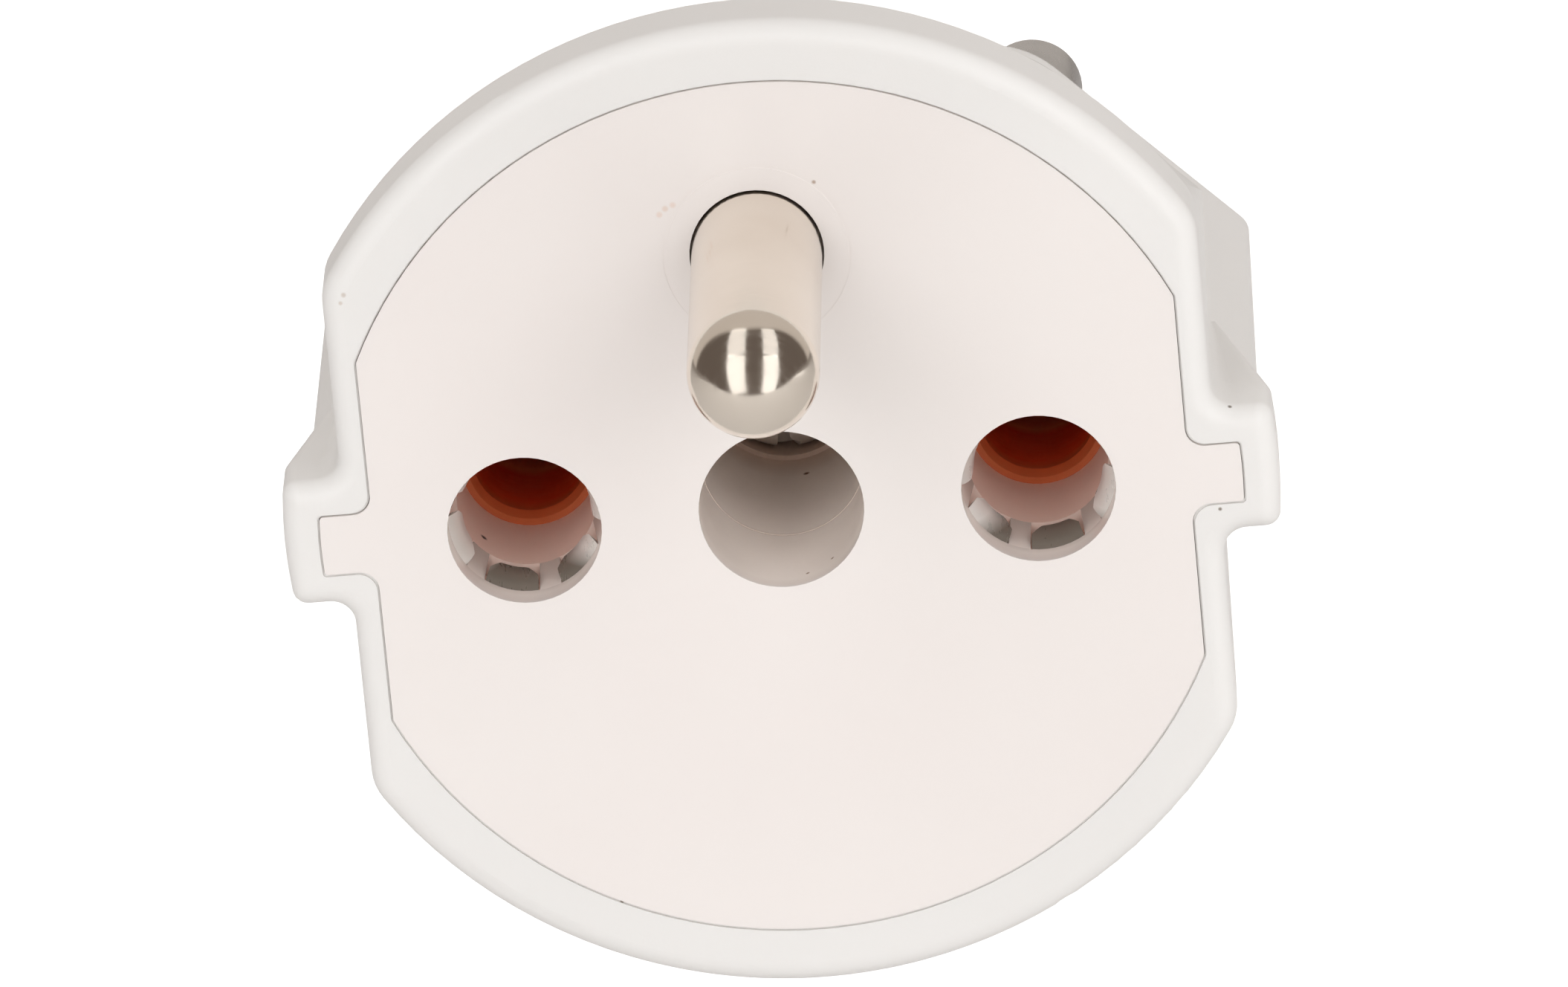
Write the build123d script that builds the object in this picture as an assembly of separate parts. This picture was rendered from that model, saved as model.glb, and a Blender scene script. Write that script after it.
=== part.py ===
from build123d import *
import os
from math import atan2, cos, degrees, radians, sin, sqrt

# Frame: X to the right, Y from the socket face back towards the plug pins, Z up towards the
# earth pin of the face. Y = 0 is the plug shoulder, the plane that meets the wall socket.
# Depths are counted from the socket face towards the back.

# Overall sizes
body_depth = 27.8  # socket face to plug shoulder
line_spacing = 19.0  # between the two line holes, and between the two line pins
socket_earth_rise = 10.0  # earth pin of the face above the line holes
plug_earth_drop = 5.0  # earth pin of the plug below the line pins

# Outer shell, front band
band_radius = 18.85
band_flat_reach = 6.6  # line hole's axis to the side flat beside it
band_corner = 2.0  # rounding where the round edge meets a flat
band_depth = 3.0
band_edge = 0.8  # rounding of the front edge
rib_rise = 2.3  # each side rib stands this far out of its flat, and its end is round
rib_half_width = 2.4
rib_corner = 0.55
rib_root = 0.9
rib_base_half_width = 5.0  # hidden part inside the wall that carries the rib's root curves
rib_depth = 10.0
rib_end_rise = 0.5

# Outer shell, hexagonal plug end
hexagon_corner_reach = 8.55  # line pin's axis to the corner where the slanted sides would meet
hexagon_half_height = 8.3
hexagon_side_rounding = 0.72
hexagon_top_rounding = 4.0
hexagon_start = 3.8  # depth where the side ridge begins inside the rib
plug_end_length = 1.5  # straight stretch behind the taper
shoulder_edge = 1.0
split_angle = 60.0  # where the round edge starts to turn into a slanted side
split_arc = 4.0
flat_corner_run = 0.8

# Shell walls
insert_thickness = 3.4
insert_gap = 0.08  # open joint line at the face
joint_depth = 0.12
seat_gap = 0.02  # round the insert below the joint line
ledge_width = 0.8
taper_wall = 1.6
back_wall = 2.0
cavity_corner = 1.4
cavity_top_rounding = 2.4

# Face insert
insert_radius = 16.61
insert_flat_reach = 5.55  # line hole's axis to the side flat beside it
insert_corner = 0.3
tab_rise = 1.98  # each tab stands this far out of its flat
tab_half_width = 1.13
tab_corner = 0.15
tab_root = 0.7
line_hole_radius = 2.85
line_hole_lip = 1.25  # plain wall in front of the ring
guide_radius = 2.6  # narrow end of the funnel, and the bore behind it
collar_radius = 3.3
ring_pocket_radius = 4.7
earth_clearance = 0.07
witness_radius = 3.45
witness_width = 0.12
witness_depth = 0.02

# Centre tube of the insert, with the screw at its bottom
centre_hole_radius = 3.05
centre_step_depth = 5.5
centre_step = 0.02
centre_tube_wall = 1.25
centre_floor = 1.3

# Assembly screw
screw_head_depth = 13.8  # face to the top of the head
screw_head_radius = 2.7
screw_head_height = 1.7
screw_head_edge = 0.6
screw_seat_radius = 2.85  # narrow end of the centre hole, round the head
screw_seat_gap = 0.2  # the narrow end starts this far in front of the head
screw_shank_radius = 1.5
screw_end_wall = 2.8  # from the screw's point to the plug shoulder
screw_point = 1.0
screw_clearance = 0.2
recess_width = 0.85
recess_length = 3.3
recess_depth = 1.0
recess_turn = 19.0
screw_end_gap = 0.4
boss_radius = 2.5
boss_gap = 0.8  # between the strap and the end of the boss
thread_clearance = 0.02

# Toothed retaining rings
petal_count = 6
petal_slot_angle = 43.0
petal_root_angle = 40.0
petal_shoulder = 0.9  # half width at mid length
petal_tip = 0.5  # half width at the tip
petal_tip_radius = 2.38
petal_tip_depth = 2.5
petal_corner = 0.2
petal_overlap = 0.3  # how far each tooth runs into the flat ring
ring_thickness = 0.35
ring_inner_radius = 3.4
ring_outer_radius = 4.6
petal_start_left = 254.0
petal_start_right = 281.0

# Contact sleeves
sleeve_front = 7.6
sleeve_wall = 0.35
sleeve_mouth_radius = 2.35  # inside, at the front edge
sleeve_bore_radius = 2.15
sleeve_mouth_depth = 0.4
sleeve_base = 0.5
sleeve_base_radius = 3.4
sleeve_neck_radius = 1.95  # narrow end, round the head of the rivet
sleeve_neck_gap = 0.2
sleeve_slit_width = 0.5
sleeve_slit_drop = 25.0  # the slit lies this far below the outward direction, in degrees
sleeve_slit_wall = 2.8  # from the end of the slit to the end of the sleeve
spring_start = 12.0
spring_length = 5.0
spring_wall = 0.2
spring_clearance = 0.02
spring_opening = 60.0

# Plug pins
pin_radius = 2.0
pin_length = 19.0
pin_tip = 1.0
pin_flange_radius = 2.4
pin_flange = 1.2
pin_collar_radius = 2.2  # inside the back wall
pin_hole_clearance = 0.05
flange_clearance = 0.08
rivet_radius = 1.2
rivet_clearance = 0.05
rivet_head_radius = 1.8
rivet_head = 0.6
plug_earth_shank = 1.6

# Earth pin of the face and its strap
earth_pin_radius = 2.4
earth_pin_reach = 15.2
earth_neck_radius = 2.2  # from the face back to the flange
earth_flange_radius = 3.5
earth_flange = 1.2
earth_spigot_radius = 1.7
earth_head_radius = 2.1
earth_head = 0.7
washer_radius = 2.6
washer_thickness = 0.5
strap_thickness = 0.8
strap_half_width = 2.5
strap_leg_drop = 3.1  # earth pin's axis down to the outer side of the long leg
strap_rear_gap = 0.7  # between the centre tube and the rear of the strap
strap_tail = 2.3  # below the axis of the plug's earth pin
strap_eye_radius = 3.5
strap_bend = 0.8  # to the middle of the strip
strap_screw_hole = 2.0

# Contact carrier
carrier_gap = 0.12
carrier_plate = 2.0
carrier_boss_gap = 0.1
chamber_radius = 2.95
chamber_wall = 1.25
centre_sleeve_wall = 1.1
centre_sleeve_gap = 0.1
centre_sleeve_step = 0.2  # the carrier's tube ends this far in front of the insert's
earth_boss_radius = 4.7
earth_boss_depth = 7.0
earth_pocket_gap = 0.2
earth_through_radius = 3.0
strap_gap = 0.15

# Tolerance for picking corners by their place
pick_tolerance = 0.01

# Places that follow from the sizes above
front = -body_depth
line_x = line_spacing / 2
hexagon_corner_sum = line_x + hexagon_corner_reach  # x + z along each slanted side
band_flat = line_x + band_flat_reach
insert_flat = line_x + insert_flat_reach
rib_reach = band_flat + rib_rise
rib_end_reach = band_flat + rib_end_rise
tab_reach = insert_flat + tab_rise
taper_end = body_depth - plug_end_length
cavity_end = body_depth - back_wall
flange_front = cavity_end - pin_flange
sleeve_end = flange_front
centre_tube_radius = centre_hole_radius + centre_tube_wall
centre_tube_floor = screw_head_depth + screw_head_height
centre_tube_end = centre_tube_floor + centre_floor
centre_sleeve_end = centre_tube_end - centre_sleeve_step
strap_eye_depth = insert_thickness + earth_flange
strap_leg_top = socket_earth_rise - strap_leg_drop
strap_rear_depth = centre_tube_end + strap_rear_gap
boss_start = strap_rear_depth + strap_thickness + boss_gap
screw_end_depth = body_depth - screw_end_wall
sleeve_slit_end = sleeve_end - sleeve_slit_wall


def face_plane(depth, x=0.0, z=0.0, turn=0.0):
    """Plane at a depth behind the face, looking out of it, with its Y along +Z."""
    plane = Plane(origin=(x, front + depth, z), x_dir=(1, 0, 0), z_dir=(0, -1, 0))
    return plane.rotated((0, 0, turn))


def slab(sketch, start, end, x=0.0, z=0.0, turn=0.0):
    """Straight piece with the sketch as its section, from one depth to another."""
    return extrude(face_plane(start, x, z, turn) * sketch, amount=start - end)


def rod(radius, start, end, x=0.0, z=0.0):
    """Round bar along the depth."""
    return slab(Circle(radius), start, end, x, z)


def turned(points, x=0.0, z=0.0):
    """Turned piece from (radius, depth) points, about an axis along the depth."""
    places = [(x + radius, front + depth, z) for radius, depth in points]
    profile = make_face(Polyline(places, close=True))
    return revolve(profile, axis=Axis((x, 0, z), (0, 1, 0)))


def keyed_disc(radius, flat, corner, reach, half_width, end_corner, root_corner):
    """Round outline with two side flats and a round-ended tab standing out of each flat."""
    disc = Circle(radius) & Rectangle(2 * flat, 2 * radius)
    disc = fillet(disc.vertices(), corner)
    outline = disc + (Circle(reach) & Rectangle(2 * reach, 2 * half_width))
    ends = [v for v in outline.vertices() if abs(v.X) > (reach + flat) / 2]
    outline = fillet(ends, end_corner)
    roots = [
        v
        for v in outline.vertices()
        if abs(abs(v.X) - flat) < pick_tolerance
        and abs(abs(v.Y) - half_width) < pick_tolerance
    ]
    return fillet(roots, root_corner)


def mirrored(quarter):
    """Four copies of the edges of one quarter, mirrored left to right and top to bottom."""
    half = quarter + [edge.mirror(Plane.YZ) for edge in quarter]
    return half + [edge.mirror(Plane.XZ) for edge in half]


def round_section(radius, flat, corner):
    """Flatted circle, cut into the same sixteen stretches as the hexagon."""
    corner_z = sqrt((radius - corner) ** 2 - (flat - corner) ** 2)
    corner_angle = degrees(atan2(corner_z, flat - corner))
    first_split = split_angle - split_arc / 2
    second_split = split_angle + split_arc / 2
    quarter = [
        CenterArc((flat - corner, corner_z), corner, 0, corner_angle),
        CenterArc((0, 0), radius, corner_angle, first_split - corner_angle),
        CenterArc((0, 0), radius, first_split, split_arc),
    ]
    top = CenterArc((0, 0), radius, second_split, 180 - 2 * second_split)
    side = Line((flat, -corner_z), (flat, corner_z))
    edges = mirrored(quarter) + [top, top.mirror(Plane.XZ), side, side.mirror(Plane.YZ)]
    return make_face(edges)


def hexagon_section(corner_sum, half_height, flat, top_rounding):
    """Hexagon with its two side corners cut off at the flats."""
    run = top_rounding * (sqrt(2) - 1)
    corner_x = corner_sum - half_height
    flat_z = corner_sum - flat
    low = (corner_x + run * sqrt(0.5), half_height - run * sqrt(0.5))
    quarter = [
        Line((flat, flat_z - flat_corner_run), (flat, flat_z)),
        Line((flat, flat_z), low),
        CenterArc((corner_x - run, half_height - top_rounding), top_rounding, 45, 45),
    ]
    top = Line((corner_x - run, half_height), (run - corner_x, half_height))
    side = Line((flat, flat_corner_run - flat_z), (flat, flat_z - flat_corner_run))
    edges = mirrored(quarter) + [top, top.mirror(Plane.XZ), side, side.mirror(Plane.YZ)]
    return make_face(edges)


def tapered(round_face, hexagon_face, start, end):
    """Body that runs from a flatted circle to a hexagon."""
    sections = [face_plane(start) * round_face, face_plane(end) * hexagon_face]
    return loft(sections, ruled=True)


def petal_angles(first):
    """Directions of the petals of one ring."""
    return [first + 360.0 * index / petal_count for index in range(petal_count)]


def wedge(opening, reach, direction):
    """Triangle with its point on the axis, opening towards a direction."""
    sides = [radians(direction - opening / 2), radians(direction + opening / 2)]
    points = [(reach * cos(side), reach * sin(side)) for side in sides]
    return Polygon((0, 0), *points, align=None)


def make_outer_shell():
    """White housing: front band with ribs, tapering body and hexagonal plug end."""
    band_outline = keyed_disc(
        band_radius, band_flat, band_corner, rib_reach, rib_half_width, rib_corner, rib_root
    )
    band = slab(band_outline, 0, band_depth)
    band = fillet(band.edges().group_by(Axis.Y)[0], band_edge)
    taper = tapered(
        round_section(band_radius, band_flat, band_corner),
        hexagon_section(
            hexagon_corner_sum, hexagon_half_height, band_flat, hexagon_top_rounding
        ),
        band_depth,
        taper_end,
    )
    corner_x = hexagon_corner_sum - hexagon_half_height
    hexagon = make_face(
        Polyline(
            (hexagon_corner_sum, 0),
            (corner_x, hexagon_half_height),
            (-corner_x, hexagon_half_height),
            (-hexagon_corner_sum, 0),
            (-corner_x, -hexagon_half_height),
            (corner_x, -hexagon_half_height),
            close=True,
        )
    )
    tops = [v for v in hexagon.vertices() if abs(v.Y) > hexagon_half_height / 2]
    hexagon = fillet(tops, hexagon_top_rounding)
    sides = [v for v in hexagon.vertices() if abs(v.Y) < hexagon_side_rounding]
    hexagon = fillet(sides, hexagon_side_rounding)
    plug_end = slab(hexagon, hexagon_start, body_depth)
    plug_end = fillet(plug_end.edges().group_by(Axis.Y)[-1], shoulder_edge)
    shell = band + taper + plug_end + make_ribs()

    shell -= slab(insert_outline(insert_gap), 0, joint_depth)
    shell -= slab(insert_outline(seat_gap), joint_depth, insert_thickness)
    shell -= make_cavity(0.0, insert_thickness, cavity_end)
    for x, z in pin_places():
        shell -= rod(pin_flange_radius + flange_clearance, flange_front, cavity_end, x, z)
        shell -= rod(pin_collar_radius + pin_hole_clearance, cavity_end, body_depth, x, z)
    shell += rod(boss_radius, boss_start, cavity_end)
    pilot = screw_shank_radius + thread_clearance
    return shell - rod(pilot, boss_start, screw_end_depth + screw_end_gap)


def make_ribs():
    """Stretch of both side ribs that slopes into the body behind the band."""
    sections = []
    for depth, reach in ((band_depth, rib_reach), (rib_depth, rib_end_reach)):
        outline = Rectangle(2 * band_flat, 2 * rib_base_half_width)
        outline += Circle(reach) & Rectangle(2 * reach, 2 * rib_half_width)
        rise = reach - band_flat
        ends = [v for v in outline.vertices() if abs(v.X) > band_flat + rise / 2]
        outline = fillet(ends, min(rib_corner, rise / 4))
        middle = (rib_half_width + rib_base_half_width) / 2
        roots = [
            v
            for v in outline.vertices()
            if abs(v.X) < band_flat + pick_tolerance and abs(v.Y) < middle
        ]
        outline = fillet(roots, min(rib_root, rise / 3))
        sections.append(face_plane(depth) * outline)
    return loft(sections)


def make_cavity(gap, start, end):
    """Space inside the shell between two depths, or less by a gap all round."""
    front_radius = insert_radius - ledge_width
    flat = insert_flat - ledge_width
    corner_sum = hexagon_corner_sum - taper_wall * sqrt(2)
    half_height = hexagon_half_height - taper_wall
    whole = tapered(
        round_section(front_radius - gap, flat - gap, cavity_corner),
        hexagon_section(
            corner_sum - gap * sqrt(2), half_height - gap, flat - gap, cavity_top_rounding
        ),
        insert_thickness,
        cavity_end,
    )
    window = Rectangle(4 * band_radius, 4 * band_radius)
    return whole & slab(window, start, end)


def pin_places():
    """Axes of the three plug pins."""
    return [(-line_x, 0.0), (line_x, 0.0), (0.0, -plug_earth_drop)]


def insert_outline(gap):
    """Outline of the face insert, or of the opening a gap wider all round."""
    return keyed_disc(
        insert_radius + gap,
        insert_flat + gap,
        insert_corner,
        tab_reach + gap,
        tab_half_width + gap,
        tab_corner,
        tab_root,
    )


def make_face_insert():
    """Flush face plate, with the collars of the line holes and the centre tube."""
    insert = slab(insert_outline(0), 0, insert_thickness)
    insert += rod(centre_tube_radius, insert_thickness, centre_tube_end)
    seat_start = screw_head_depth - screw_seat_gap
    insert -= rod(centre_hole_radius, 0, centre_step_depth)
    insert -= rod(centre_hole_radius - centre_step, centre_step_depth, seat_start)
    insert -= rod(screw_seat_radius, seat_start, centre_tube_floor)
    insert -= rod(screw_shank_radius + screw_clearance, centre_tube_floor, centre_tube_end)
    earth_hole = earth_pin_radius + earth_clearance
    insert -= rod(earth_hole, 0, insert_thickness, z=socket_earth_rise)
    groove = Circle(witness_radius) - Circle(witness_radius - witness_width)
    insert -= slab(groove, 0, witness_depth, z=socket_earth_rise)
    for x, first in ((-line_x, petal_start_left), (line_x, petal_start_right)):
        insert -= turned(
            [
                (0, 0),
                (line_hole_radius, 0),
                (line_hole_radius, line_hole_lip),
                (guide_radius, insert_thickness),
                (0, insert_thickness),
            ],
            x,
        )
        pocket = Circle(ring_pocket_radius) - Circle(collar_radius)
        insert -= slab(pocket, line_hole_lip, insert_thickness, x)
        for angle in petal_angles(first):
            slot = wedge(petal_slot_angle, ring_outer_radius, angle)
            insert -= slab(slot, line_hole_lip, insert_thickness, x)
    return insert


def petal_bend(x):
    """Section of a tooth's finger: an arc from the ring's plane that ends along the hole."""
    run = line_hole_radius - petal_tip_radius
    length = petal_tip_depth - line_hole_lip
    bend = (run**2 + length**2) / (2 * run)
    bend_angle = degrees(atan2(length, bend - run))
    centre = (x + petal_tip_radius + bend, front + petal_tip_depth)
    faces = [CenterArc(centre, bend - inset, 180, bend_angle) for inset in (0, ring_thickness)]
    ends = [Line(faces[0] @ place, faces[1] @ place) for place in (0, 1)]
    return make_face(faces + ends)


def make_petal(angle, x):
    """One springy tooth: a root across the collar and a finger bent back into the hole."""
    root_edge = ring_inner_radius + petal_overlap
    root_end = line_hole_lip + ring_thickness
    finger = turned(
        [
            (line_hole_radius, line_hole_lip),
            (root_edge, line_hole_lip),
            (root_edge, root_end),
            (line_hole_radius, root_end),
        ],
        x,
    )
    finger += revolve(petal_bend(x), axis=Axis((x, 0, 0), (0, 1, 0)))
    root = line_hole_radius * radians(petal_root_angle) / 2
    length = petal_tip_depth - line_hole_lip
    shape = Polygon(
        (-root, 0),
        (-petal_shoulder, length / 2),
        (-petal_tip, length),
        (petal_tip, length),
        (petal_shoulder, length / 2),
        (root, 0),
        align=None,
    )
    corners = [v for v in shape.vertices() if v.Y > length / 4]
    shape = fillet(corners, petal_corner)
    outward = Vector(cos(radians(angle)), 0, sin(radians(angle)))
    across = Vector(0, 1, 0).cross(outward)
    start = Plane(origin=(x, front + line_hole_lip, 0), x_dir=across, z_dir=outward)
    return finger & extrude(start * shape, amount=ring_outer_radius)


def make_retaining_ring(x, first):
    """Flat ring with six teeth bent back along the line hole."""
    ring = slab(
        Circle(ring_outer_radius) - Circle(ring_inner_radius),
        line_hole_lip,
        line_hole_lip + ring_thickness,
        x,
    )
    for angle in petal_angles(first):
        ring += make_petal(angle, x)
    return ring


def slit_angle(x):
    """Direction of the slit, from the sleeve's axis."""
    return -sleeve_slit_drop if x > 0 else 180.0 + sleeve_slit_drop


def make_contact_sleeve(x):
    """Springy tube that takes a line pin, with a flared mouth, a slit and a riveted base."""
    outer = sleeve_bore_radius + sleeve_wall
    mouth_end = sleeve_front + sleeve_mouth_depth
    base_front = sleeve_end - sleeve_base
    neck_start = base_front - rivet_head - sleeve_neck_gap
    sleeve = turned(
        [
            (sleeve_mouth_radius, sleeve_front),
            (sleeve_mouth_radius + sleeve_wall, sleeve_front),
            (outer, mouth_end),
            (outer, base_front),
            (sleeve_base_radius, base_front),
            (sleeve_base_radius, sleeve_end),
            (rivet_radius + rivet_clearance, sleeve_end),
            (rivet_radius + rivet_clearance, base_front),
            (sleeve_neck_radius, base_front),
            (sleeve_neck_radius, neck_start),
            (sleeve_bore_radius, neck_start),
            (sleeve_bore_radius, mouth_end),
        ],
        x,
    )
    slit = Pos(sleeve_base_radius / 2, 0) * Rectangle(sleeve_base_radius, sleeve_slit_width)
    return sleeve - slab(slit, sleeve_front, sleeve_slit_end, x, turn=slit_angle(x))


def make_contact_spring(x):
    """Steel clip round the sleeve, open at the slit."""
    inner = sleeve_bore_radius + sleeve_wall + spring_clearance
    ring = Circle(inner + spring_wall) - Circle(inner)
    ring -= wedge(spring_opening, 2 * chamber_radius, slit_angle(x))
    return slab(ring, spring_start, spring_start + spring_length, x)


def make_pin_body(x, z):
    """Plug pin outside the shell, with its collar in the back wall and a flange inside."""
    pin = rod(pin_radius, body_depth, body_depth + pin_length, x, z)
    pin = fillet(pin.edges().group_by(Axis.Y)[-1], pin_tip)
    pin += rod(pin_collar_radius, cavity_end, body_depth, x, z)
    return pin + rod(pin_flange_radius, flange_front, cavity_end, x, z)


def make_line_pin(x):
    """Line pin, riveted into the base of its sleeve."""
    base_front = sleeve_end - sleeve_base
    pin = make_pin_body(x, 0)
    pin += rod(rivet_radius, base_front, flange_front, x)
    return pin + rod(rivet_head_radius, base_front - rivet_head, base_front, x)


def make_plug_earth_pin():
    """Earth pin of the plug, riveted through the strap."""
    z = -plug_earth_drop
    strap_back = strap_rear_depth + strap_thickness
    pin = make_pin_body(0, z)
    pin += rod(plug_earth_shank, strap_back, flange_front, z=z)
    pin += rod(rivet_radius, strap_rear_depth, strap_back, z=z)
    return pin + rod(rivet_head_radius, strap_rear_depth - rivet_head, strap_rear_depth, z=z)


def make_socket_earth_pin():
    """Round-nosed earth pin that stands out of the face."""
    z = socket_earth_rise
    nose_depth = earth_pin_radius - earth_pin_reach
    head_depth = strap_eye_depth + strap_thickness + washer_thickness
    pin = rod(earth_pin_radius, nose_depth, 0, z=z)
    pin += Pos(0, front + nose_depth, z) * Sphere(earth_pin_radius)
    pin += rod(earth_neck_radius, 0, insert_thickness, z=z)
    pin += rod(earth_flange_radius, insert_thickness, strap_eye_depth, z=z)
    pin += rod(earth_spigot_radius, strap_eye_depth, head_depth, z=z)
    return pin + rod(earth_head_radius, head_depth, head_depth + earth_head, z=z)


def make_earth_washer():
    """Washer under the riveted end of the earth pin."""
    start = strap_eye_depth + strap_thickness
    ring = Circle(washer_radius) - Circle(earth_spigot_radius + rivet_clearance)
    return slab(ring, start, start + washer_thickness, z=socket_earth_rise)


def make_earth_strap():
    """Bent brass strip from the face's earth pin to the plug's earth pin."""
    eye_middle = strap_eye_depth + strap_thickness / 2
    rear_middle = strap_rear_depth + strap_thickness / 2
    leg_middle = strap_leg_top - strap_thickness / 2
    path = FilletPolyline(
        (eye_middle, socket_earth_rise),
        (eye_middle, leg_middle),
        (rear_middle, leg_middle),
        (rear_middle, -plug_earth_drop - strap_tail),
        radius=strap_bend,
    )
    side_plane = Plane(origin=(-strap_half_width, front, 0), x_dir=(0, 1, 0), z_dir=(1, 0, 0))
    strap = extrude(side_plane * trace(path, strap_thickness), amount=2 * strap_half_width)
    eye_end = strap_eye_depth + strap_thickness
    rear_end = strap_rear_depth + strap_thickness
    eye_hole = earth_spigot_radius + rivet_clearance
    rear_hole = rivet_radius + rivet_clearance
    strap += rod(strap_eye_radius, strap_eye_depth, eye_end, z=socket_earth_rise)
    strap -= rod(eye_hole, strap_eye_depth, eye_end, z=socket_earth_rise)
    strap -= rod(strap_screw_hole, strap_rear_depth, rear_end)
    return strap - rod(rear_hole, strap_rear_depth, rear_end, z=-plug_earth_drop)


def make_assembly_screw():
    """Self-tapping screw at the bottom of the centre hole."""
    head = rod(screw_head_radius, screw_head_depth, centre_tube_floor)
    head = fillet(head.edges().group_by(Axis.Y)[0], screw_head_edge)
    shank = rod(screw_shank_radius, centre_tube_floor, screw_end_depth)
    shank = chamfer(shank.edges().group_by(Axis.Y)[-1], screw_point)
    recess = Rectangle(recess_length, recess_width)
    recess += Rectangle(recess_width, 2 * screw_head_radius)
    recess_end = screw_head_depth + recess_depth
    return head + shank - slab(recess, screw_head_depth, recess_end, turn=recess_turn)


def make_contact_carrier():
    """Inner moulding: a plate with chambers for the sleeves, the screw tube and the earth pin."""
    plate_end = insert_thickness + carrier_plate
    chamber_end = sleeve_end - sleeve_base
    chamber_outer = chamber_radius + chamber_wall
    socket = centre_tube_radius + centre_sleeve_gap
    carrier = make_cavity(carrier_gap, insert_thickness, plate_end)
    carrier += rod(socket + centre_sleeve_wall, insert_thickness, centre_sleeve_end)
    earth_boss = rod(
        earth_boss_radius, insert_thickness, earth_boss_depth, z=socket_earth_rise
    )
    carrier += earth_boss & make_cavity(carrier_gap, insert_thickness, earth_boss_depth)
    for x in (-line_x, line_x):
        carrier += rod(chamber_outer, insert_thickness, chamber_end, x)
        ring_boss = Circle(ring_outer_radius) - Circle(collar_radius + carrier_boss_gap)
        carrier += slab(ring_boss, line_hole_lip + ring_thickness, insert_thickness, x)
    for x in (-line_x, line_x):
        carrier -= rod(guide_radius, insert_thickness, sleeve_front, x)
        carrier -= rod(chamber_radius, sleeve_front, chamber_end, x)
    carrier -= rod(socket, insert_thickness, centre_tube_end)
    pocket = strap_eye_radius + earth_pocket_gap
    pocket_end = strap_eye_depth + strap_thickness
    carrier -= rod(pocket, insert_thickness, pocket_end, z=socket_earth_rise)
    carrier -= rod(earth_through_radius, pocket_end, earth_boss_depth, z=socket_earth_rise)
    low = strap_leg_top - strap_thickness - strap_gap
    leg_way = Rectangle(
        2 * (strap_half_width + strap_gap), socket_earth_rise - low, align=(Align.CENTER, Align.MIN)
    )
    carrier -= slab(leg_way, insert_thickness, pocket_end, z=low)
    leg_slot = Rectangle(
        2 * (strap_half_width + strap_gap),
        strap_thickness / 2 + strap_bend + 2 * strap_gap,
        align=(Align.CENTER, Align.MIN),
    )
    carrier -= slab(leg_slot, pocket_end, earth_boss_depth, z=low)
    return carrier


def make_parts():
    """Every piece of the adapter, by name."""
    parts = {
        "outer_shell": make_outer_shell(),
        "face_insert": make_face_insert(),
        "contact_carrier": make_contact_carrier(),
        "socket_earth_pin": make_socket_earth_pin(),
        "earth_pin_washer": make_earth_washer(),
        "earth_strap": make_earth_strap(),
        "plug_earth_pin": make_plug_earth_pin(),
        "assembly_screw": make_assembly_screw(),
    }
    sides = (("left", -line_x, petal_start_left), ("right", line_x, petal_start_right))
    for side, x, first in sides:
        parts[f"retaining_ring_{side}"] = make_retaining_ring(x, first)
        parts[f"contact_sleeve_{side}"] = make_contact_sleeve(x)
        parts[f"contact_spring_{side}"] = make_contact_spring(x)
        parts[f"line_pin_{side}"] = make_line_pin(x)
    return parts


def main():
    os.makedirs("parts", exist_ok=True)
    for name, shape in make_parts().items():
        export_step(shape, os.path.join("parts", f"{name}.step"))


main()
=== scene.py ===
from math import radians

import bpy
from mathutils import Matrix, Vector

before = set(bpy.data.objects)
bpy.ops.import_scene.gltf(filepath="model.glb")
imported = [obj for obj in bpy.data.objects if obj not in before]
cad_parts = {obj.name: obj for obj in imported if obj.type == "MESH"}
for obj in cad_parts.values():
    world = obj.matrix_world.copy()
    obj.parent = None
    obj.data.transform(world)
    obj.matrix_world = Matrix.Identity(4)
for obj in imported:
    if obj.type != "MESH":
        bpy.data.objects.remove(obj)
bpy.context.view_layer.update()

# Distances are in metres, in the row frame: X right, Y from the face to the plug pins, Z up.
# Places on the part and the sizes of marks are written in millimetres.
mm = 0.001

# Places along Y in millimetres, with the plug shoulder at 0 and the socket face in front
face = -27.8
hole_mouth = -27.78
hole_wall = -27.0
centre_hole_bottom = -14.0
sleeve_mouth = -20.3
sleeve_middle = -12.0

# Heights in millimetres between which the lowest teeth of a ring turn dark with painted shade
lowest_teeth = -2.1
other_teeth = -1.5

# Camera, from the photograph's perspective
camera_place = (0.02361, -0.59090, 0.20581)
camera_right = (0.99593, 0.00882, -0.08965)
camera_up = (0.08115, 0.34423, 0.93537)
camera_back = (0.03911, -0.93884, 0.34212)
photo_width = 2110
focal_pixels = 21932
sensor_width = 36.0

# Edges sharper than this show as edges, and the rest is shaded smooth
smooth_angle = radians(28)

# A noise keeps between these two values nearly everywhere
noise_low = 0.3
noise_high = 0.7

# Sockets of a node that mixes two colours
mix_first = 6
mix_second = 7
mix_result = 2


def linear(red, green, blue):
    """Colour in linear light, from its three values on screen between 0 and 255."""

    def channel(value):
        value /= 255
        return value / 12.92 if value <= 0.04045 else ((value + 0.055) / 1.055) ** 2.4

    return (channel(red), channel(green), channel(blue), 1.0)


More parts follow.
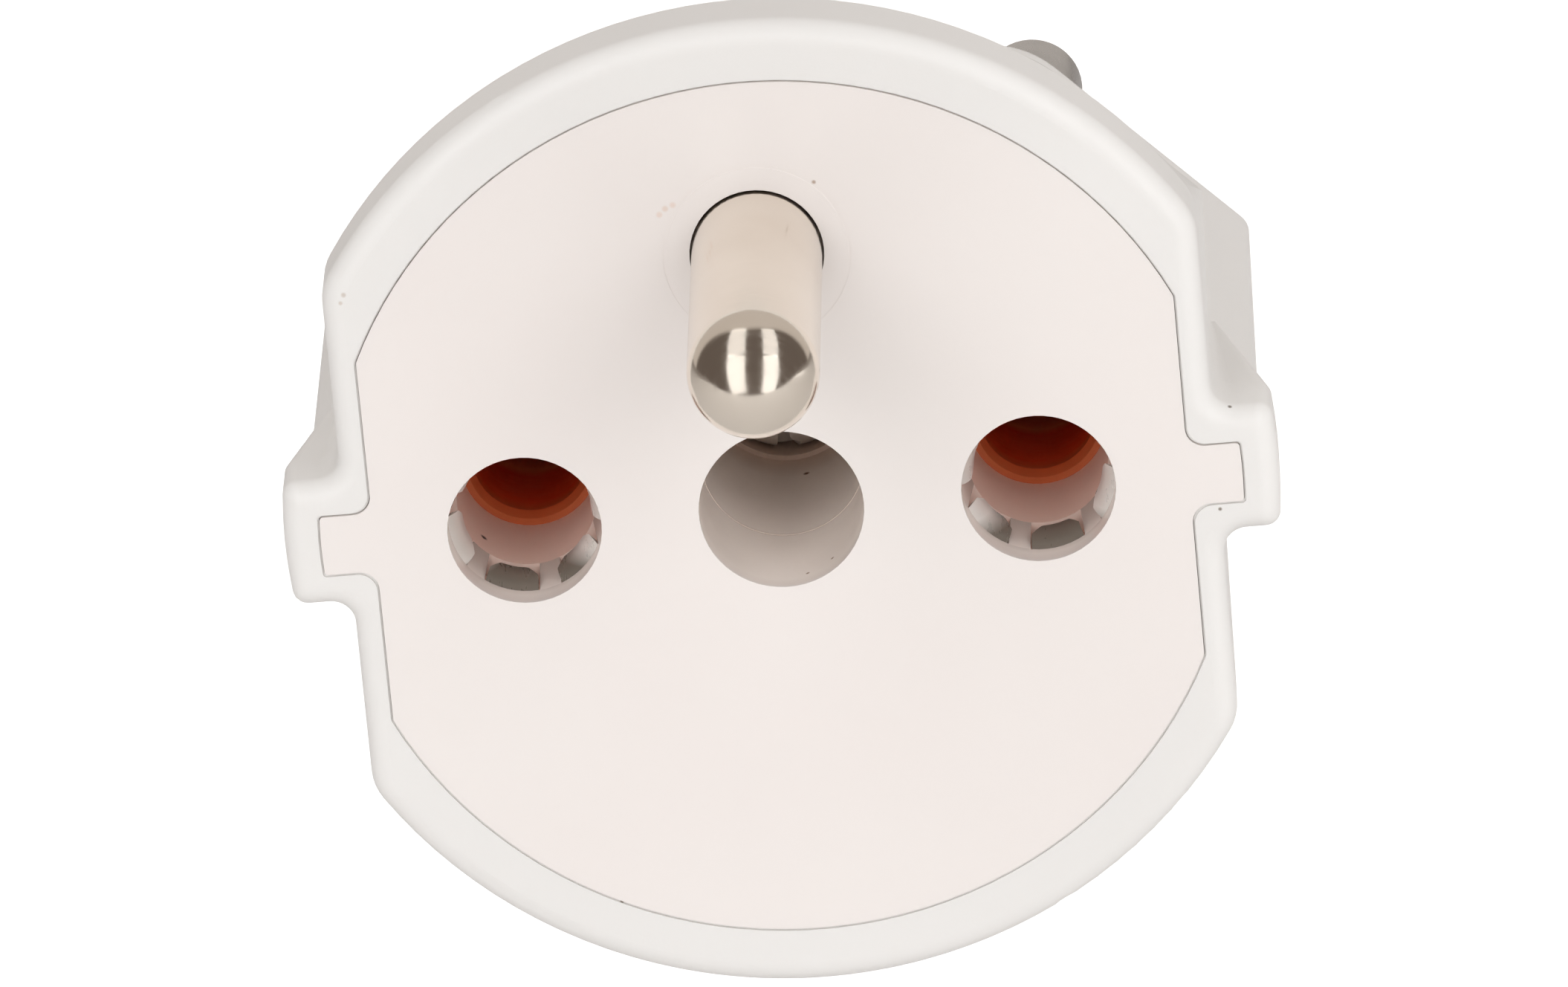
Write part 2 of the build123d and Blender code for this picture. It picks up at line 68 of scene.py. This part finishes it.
class Graph:
    """Short calls for the nodes of one material or of the world."""

    def __init__(self, tree):
        self.nodes = tree.nodes
        self.links = tree.links

    def add(self, kind, **values):
        node = self.nodes.new(kind)
        for key, value in values.items():
            setattr(node, key, value)
        return node

    def feed(self, source, socket):
        """Join a node's output to a socket, or set a plain value there."""
        if isinstance(source, bpy.types.NodeSocket):
            self.links.new(source, socket)
        else:
            socket.default_value = source

    def calculate(self, operation, *sources, kind="ShaderNodeMath"):
        """Number that one operation gives for outputs or plain values."""
        node = self.add(kind, operation=operation)
        for source, socket in zip(sources, node.inputs):
            self.feed(source, socket)
        return node.outputs["Value"]

    def axis(self, place, letter):
        """One of the three parts of a place or direction."""
        parts = self.add("ShaderNodeSeparateXYZ")
        self.feed(place, parts.inputs["Vector"])
        return parts.outputs[letter]

    def spread(self, source, low, high, start=noise_low, end=noise_high, **values):
        """From low to high, while the source goes from start to end."""
        node = self.add("ShaderNodeMapRange", **values)
        node.inputs["From Min"].default_value = start
        node.inputs["From Max"].default_value = end
        node.inputs["To Min"].default_value = low
        node.inputs["To Max"].default_value = high
        self.feed(source, node.inputs["Value"])
        return node.outputs["Result"]

    def ramp(self, source, *stops):
        """Colour that runs through stops of a position and a colour."""
        node = self.add("ShaderNodeValToRGB")
        elements = node.color_ramp.elements
        while len(elements) < len(stops):
            elements.new(position=0.5)
        for element, (position, colour) in zip(elements, stops):
            element.position = position
            element.color = colour
        self.feed(source, node.inputs["Fac"])
        return node.outputs["Color"]

    def blend(self, share, first, second):
        """First colour, with a share of the second in its place."""
        node = self.add("ShaderNodeMix", data_type="RGBA")
        self.feed(share, node.inputs["Factor"])
        self.feed(first, node.inputs[mix_first])
        self.feed(second, node.inputs[mix_second])
        return node.outputs[mix_result]


class Look(Graph):
    """One procedural material, laid out in the row frame."""

    def __init__(self, name):
        self.material = bpy.data.materials.new(name)
        self.material.use_nodes = True
        super().__init__(self.material.node_tree)
        self.shader = self.nodes["Principled BSDF"]
        self.place = self.add("ShaderNodeTexCoord").outputs["Object"]

    def noise(self, scale, detail=3.0, roughness=0.5, stretch=(1, 1, 1)):
        mapping = self.add("ShaderNodeMapping")
        mapping.inputs["Scale"].default_value = stretch
        self.feed(self.place, mapping.inputs["Vector"])
        noise = self.add("ShaderNodeTexNoise")
        noise.inputs["Scale"].default_value = scale
        noise.inputs["Detail"].default_value = detail
        noise.inputs["Roughness"].default_value = roughness
        self.feed(mapping.outputs["Vector"], noise.inputs["Vector"])
        return noise.outputs["Fac"]

    def depth(self, start, end):
        """From 0 to 1 between two places along Y, in millimetres."""
        return self.spread(self.axis(self.place, "Y"), 0.0, 1.0, start * mm, end * mm)

    def tones(self, shade, colour, scale, detail=3.0, start=noise_low):
        """Two close tones in soft clouds."""
        clouds = self.noise(scale, detail)
        return self.ramp(clouds, (start, linear(*shade)), (noise_high, linear(*colour)))

    def speck(self, colour, place, size, tint, core=0.4):
        """Small mark at a place, with a soft edge outside the core's share of its size."""
        middle = [value * mm for value in place]
        reach = self.calculate("DISTANCE", self.place, middle, kind="ShaderNodeVectorMath")
        share = self.spread(reach, 1.0, 0.0, core * size * mm, size * mm)
        return self.blend(share, colour, linear(*tint))

    def paint(self, colour):
        self.feed(colour, self.shader.inputs["Base Color"])

    def roughen(self, noise, lowest, highest):
        """Roughness that a noise moves between two values."""
        self.feed(self.spread(noise, lowest, highest), self.shader.inputs["Roughness"])

    def bump(self, height, strength, distance):
        node = self.add("ShaderNodeBump")
        node.inputs["Strength"].default_value = strength
        node.inputs["Distance"].default_value = distance
        self.feed(height, node.inputs["Height"])
        self.feed(node.outputs["Normal"], self.shader.inputs["Normal"])

    def brush(self, grain, stretch, lowest, highest, strength, distance):
        """Fine lines, in the roughness and as a bump."""
        lines = self.noise(grain, detail=4.0, roughness=0.6, stretch=stretch)
        self.roughen(lines, lowest, highest)
        scratches = self.noise(grain, detail=3.0, roughness=0.6, stretch=stretch)
        self.bump(scratches, strength, distance)

    def set(self, **values):
        for key, value in values.items():
            self.shader.inputs[key.replace("_", " ")].default_value = value


def plastic(name, colour, shade, roughness, grain, depth, glow, walls=(), marks=()):
    """Moulded plastic: two close tones, painted light and shade inside the holes, fine grain and
    marks.
    """
    look = Look(name)
    tone = look.tones(shade, colour, scale=70.0, detail=2.0)
    # Painted light and shade: the hole walls are painted lighter than the face, with painted
    # shade deeper in
    if walls:
        painted_wall_tone = look.ramp(look.depth(face, centre_hole_bottom), *walls)
        tone = look.blend(look.depth(hole_mouth, hole_wall), tone, painted_wall_tone)
    for place, size, tint in marks:
        tone = look.speck(tone, place, size, tint)
    look.paint(tone)
    look.roughen(look.noise(scale=420.0, detail=4.0), roughness - 0.03, roughness + 0.04)
    look.bump(look.noise(grain, detail=2.0), strength=0.25, distance=depth)
    look.set(IOR=1.49, Subsurface_Weight=glow, Subsurface_Scale=mm)
    look.set(Subsurface_Radius=(1.1, 1.0, 0.95))
    return look.material


def metal(name, colour, shade, roughness, stretch, grain=900.0, depth=0.000006, share=1.0):
    """Bare metal with fine drawn or turned lines."""
    look = Look(name)
    look.paint(look.tones(shade, colour, scale=260.0))
    look.brush(
        grain, stretch, roughness - 0.04, roughness + 0.06, strength=0.2, distance=depth
    )
    look.set(Metallic=share)
    return look.material


def copper():
    """Warm red contact metal with painted light and shade along its bore: lighter at the mouth,
    deep red further in, and a painted highlight ring.
    """
    look = Look("contact_copper")
    # Painted light and shade along the bore: lighter at the mouth, deep red further in, a painted
    # highlight ring
    along = look.ramp(
        look.depth(sleeve_mouth, sleeve_middle),
        (0.0, linear(224, 128, 80)),
        (0.08, linear(228, 114, 64)),
        (0.16, linear(246, 92, 44)),
        (0.5, linear(250, 100, 52)),
        (0.58, linear(254, 160, 100)),
        (0.68, linear(232, 136, 84)),
        (1.0, linear(226, 134, 86)),
    )
    stain = look.tones((190, 62, 34), (232, 116, 70), scale=500.0, start=0.35)
    stain_share = 0.2
    look.paint(look.blend(stain_share, along, stain))
    look.brush(
        grain=900.0, stretch=(1, 6, 1), lowest=0.3, highest=0.42, strength=0.15, distance=0.000004
    )
    look.set(Metallic=0.15)
    return look.material


def strip():
    """Spring strip of the toothed rings, painted bright as lit, with painted shade on its lowest
    teeth.
    """
    look = Look("spring_strip_painted_light_and_shade")
    painted_lit_tone = look.tones((244, 241, 236), (254, 252, 249), scale=260.0)
    # Painted shade: below these heights the teeth take a dark colour in place of the bright one
    height = look.axis(look.place, "Z")
    low = look.spread(height, 1.0, 0.0, lowest_teeth * mm, other_teeth * mm)
    look.paint(look.blend(low, painted_lit_tone, linear(128, 121, 112)))
    look.brush(
        grain=700.0, stretch=(4, 1, 1), lowest=0.24, highest=0.36, strength=0.3, distance=0.00001
    )
    look.set(Metallic=0.3)
    return look.material


# Each mark has a place, a size and a colour
shell_marks = [
    ((-15.24, face, 9.72), 0.12, (214, 206, 198)),
    ((-15.38, -27.79, 9.41), 0.1, (218, 210, 202)),
    ((16.76, -27.26, 2.39), 0.1, (132, 124, 116)),
    ((16.09, face, -1.38), 0.09, (144, 134, 124)),
    ((-7.3, -27.68, -14.99), 0.09, (150, 140, 130)),
]
insert_marks = [
    ((2.32, face, 12.59), 0.1, (190, 172, 158)),
    ((-2.9, face, 12.15), 0.15, (238, 223, 215)),
    ((-3.19, face, 12.03), 0.15, (236, 221, 212)),
    ((-3.42, face, 11.82), 0.15, (238, 223, 215)),
    ((0.57, -15.96, -2.98), 0.15, (120, 92, 74)),
    ((1.65, -26.46, -2.56), 0.09, (150, 126, 110)),
    ((0.7, -26.75, -2.96), 0.09, (156, 134, 118)),
]
carrier_marks = [((-11.31, -23.1, -1.87), 0.18, (40, 30, 26))]

# Two large soft marks of painted shade darken the insert where the line holes meet the toothed
# rings
line_x = 9.5
ring_front = -24.6
ring_painted_shade = 3.7
for side in (-1, 1):
    insert_marks.append(((side * line_x, ring_front, 0.0), ring_painted_shade, (130, 104, 88)))

# Painted light and shade on the walls of the insert's holes, from the face to the bottom of the
# centre hole: walls lighter than the face, a faint painted shade line at the step, darker at the
# bottom
insert_wall_light_and_shade = (
    (0.0, linear(255, 238, 226)),
    (0.05, linear(255, 247, 241)),
    (0.39, linear(255, 247, 241)),
    (0.3986, linear(232, 220, 211)),
    (0.407, linear(255, 247, 241)),
    (0.85, linear(254, 243, 235)),
    (1.0, linear(232, 208, 192)),
)

shell_look = plastic(
    "shell_satin_white", (241, 240, 238), (238, 237, 235),
    roughness=0.36, grain=9000.0, depth=0.000012, glow=0.04, marks=shell_marks,
)
insert_look = plastic(
    "insert_warm_white", (245, 240, 237), (243, 237, 234),
    roughness=0.22, grain=5000.0, depth=0.000004, glow=0.04,
    walls=insert_wall_light_and_shade, marks=insert_marks,
)
carrier_look = plastic(
    "carrier_warm_white", (250, 222, 210), (247, 216, 203),
    roughness=0.42, grain=5000.0, depth=0.00001, glow=0.2, marks=carrier_marks,
)
pin_look = metal(
    "nickel_plate", (236, 227, 215), (230, 220, 207),
    roughness=0.14, stretch=(1, 8, 1), depth=0.000003,
)
plug_pin_look = metal(
    "nickel_plate_dull", (205, 204, 202), (190, 189, 187), roughness=0.28, stretch=(6, 1, 6)
)
ring_look = strip()
sleeve_look = copper()
spring_look = metal(
    "spring_strip", (176, 176, 178), (158, 158, 160), roughness=0.32, stretch=(1, 6, 1)
)
strap_look = metal(
    "bare_brass", (214, 178, 108), (196, 156, 86), roughness=0.3, stretch=(6, 1, 1)
)
screw_look = metal(
    "screw_zinc", (238, 232, 224), (218, 212, 204),
    roughness=0.42, stretch=(1, 1, 1), grain=1400.0, share=0.3,
)

node_looks = {
    "outer_shell": shell_look,
    "face_insert": insert_look,
    "contact_carrier": carrier_look,
    "socket_earth_pin": pin_look,
    "earth_pin_washer": spring_look,
    "earth_strap": strap_look,
    "plug_earth_pin": plug_pin_look,
    "assembly_screw": screw_look,
    "retaining_ring_left": ring_look,
    "retaining_ring_right": ring_look,
    "contact_sleeve_left": sleeve_look,
    "contact_sleeve_right": sleeve_look,
    "contact_spring_left": spring_look,
    "contact_spring_right": spring_look,
    "line_pin_left": plug_pin_look,
    "line_pin_right": plug_pin_look,
}
for name, look in node_looks.items():
    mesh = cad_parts[name].data
    mesh.materials.clear()
    mesh.materials.append(look)
    if "custom_normal" in mesh.attributes:
        mesh.attributes.remove(mesh.attributes["custom_normal"])
    mesh.shade_smooth()
    mesh.set_sharp_from_angle(angle=smooth_angle)


# Floor, well below the part; the camera sees it white, apart from the part's shadow
floor_height = -0.08
floor_half = 3.0
floor_front = -0.27
floor_mesh = bpy.data.meshes.new("floor")
floor_mesh.from_pydata(
    [
        (-floor_half, floor_front, floor_height),
        (floor_half, floor_front, floor_height),
        (floor_half, floor_half, floor_height),
        (-floor_half, floor_half, floor_height),
    ],
    [],
    [(0, 1, 2, 3)],
)
floor = bpy.data.objects.new("floor", floor_mesh)
bpy.context.scene.collection.objects.link(floor)

paper_glow = 0.8
paper = Look("floor_paper")
paper.set(Base_Color=linear(236, 236, 236), Emission_Color=(1, 1, 1, 1))
paper.roughen(paper.noise(scale=40.0), 0.85, 0.95)
ray = paper.add("ShaderNodeLightPath").outputs
seen = paper.calculate("MAXIMUM", ray["Is Camera Ray"], ray["Is Transmission Ray"])
glow = paper.spread(seen, 0.0, paper_glow, start=0.0, end=1.0)
paper.feed(glow, paper.shader.inputs["Emission Strength"])
floor_mesh.materials.append(paper.material)


# World: white to the camera; a dark room in front and overhead, a pale wall behind.
# The wall is narrow, and the room is dark beside it.
room_colour = (0.14, 0.115, 0.1, 1)
wall_colour = (0.6, 0.55, 0.51, 1)
towards_wall = (0.0, 0.92, -0.39)
wall_narrowing = -0.8
wall_edge = -0.34
wall_middle = -0.12

world = bpy.data.worlds.new("studio")
bpy.context.scene.world = world
world.use_nodes = True
room = Graph(world.node_tree)
room.nodes.clear()
direction = room.add("ShaderNodeTexCoord").outputs["Generated"]
sideways = room.axis(direction, "X")
sideways_squared = room.calculate("MULTIPLY", sideways, sideways)
behind = room.calculate("DOT_PRODUCT", direction, towards_wall, kind="ShaderNodeVectorMath")
wall = room.spread(
    room.calculate("MULTIPLY_ADD", sideways_squared, wall_narrowing, behind),
    0.0, 1.0, wall_edge, wall_middle, interpolation_type="SMOOTHSTEP",
)
studio = room.add("ShaderNodeBackground")
room.feed(room.ramp(wall, (0.0, room_colour), (1.0, wall_colour)), studio.inputs["Color"])
white = room.add("ShaderNodeBackground")
white.inputs["Color"].default_value = (1, 1, 1, 1)
mix = room.add("ShaderNodeMixShader")
camera_ray = room.add("ShaderNodeLightPath").outputs["Is Camera Ray"]
for source, socket in zip((camera_ray, studio.outputs[0], white.outputs[0]), mix.inputs):
    room.feed(source, socket)
output = room.add("ShaderNodeOutputWorld")
room.feed(mix.outputs[0], output.inputs["Surface"])


# Camera
eye = bpy.data.cameras.new("camera")
eye.sensor_fit = "HORIZONTAL"
eye.sensor_width = sensor_width
eye.lens = focal_pixels * sensor_width / photo_width
eye.clip_start = 0.01
eye.clip_end = 20.0
camera = bpy.data.objects.new("camera", eye)
view_axes = Matrix((camera_right, camera_up, camera_back)).transposed()
camera.matrix_world = Matrix.Translation(camera_place) @ view_axes.to_4x4()
bpy.context.scene.collection.objects.link(camera)
bpy.context.scene.camera = camera


# The lamps face this place and are placed from it along the camera's axes: across to the
# right, and for the low and the high end of each lamp, up and towards the camera
part_centre = Vector((0.0, -0.035, 0.01))


def panel(name, across, low, high, width, glare):
    """Soft rectangular lamp that runs from a low to a high end and faces the part."""
    start = view_axes @ Vector((across, *low))
    end = view_axes @ Vector((across, *high))
    centre = (start + end) / 2
    along = (end - start).normalized()
    facing = (-centre + centre.dot(along) * along).normalized()
    lamp = bpy.data.lights.new(name, "AREA")
    lamp.shape = "RECTANGLE"
    lamp.size = width
    lamp.size_y = (end - start).length
    lamp.energy = glare * lamp.size * lamp.size_y
    holder = bpy.data.objects.new(name, lamp)
    turn = Matrix((along.cross(-facing), along, -facing)).transposed()
    holder.matrix_world = Matrix.Translation(part_centre + centre) @ turn.to_4x4()
    bpy.context.scene.collection.objects.link(holder)
    return holder


# Two long soft lamps left and right of the camera, each in a low and a high half
foot = (-0.5, 0.58)
bend = (0.3, 0.5)
top = (0.95, 0.1)
for side, across, width in (("left", -0.305, 0.35), ("right", 0.32, 0.3)):
    panel("low_" + side, across, foot, bend, width, glare=3.9)
    panel("high_" + side, across, bend, top, width, glare=2.9)

# A soft lamp behind the camera lights the holes, and two beside the part its side walls.
# None of these makes a highlight of its own.
fill = panel("fill", 0.0, low=(-0.08, 0.68), high=(0.22, 0.62), width=1.0, glare=6.1)
fill.visible_glossy = False
for side, across, glare in (("left", -0.8, 7.0), ("right", 0.8, 17.0)):
    beside = panel("beside_" + side, across, (-0.1, 0.05), (0.3, 0.05), width=0.3, glare=glare)
    beside.visible_glossy = False

bpy.context.scene.view_settings.view_transform = "Standard"
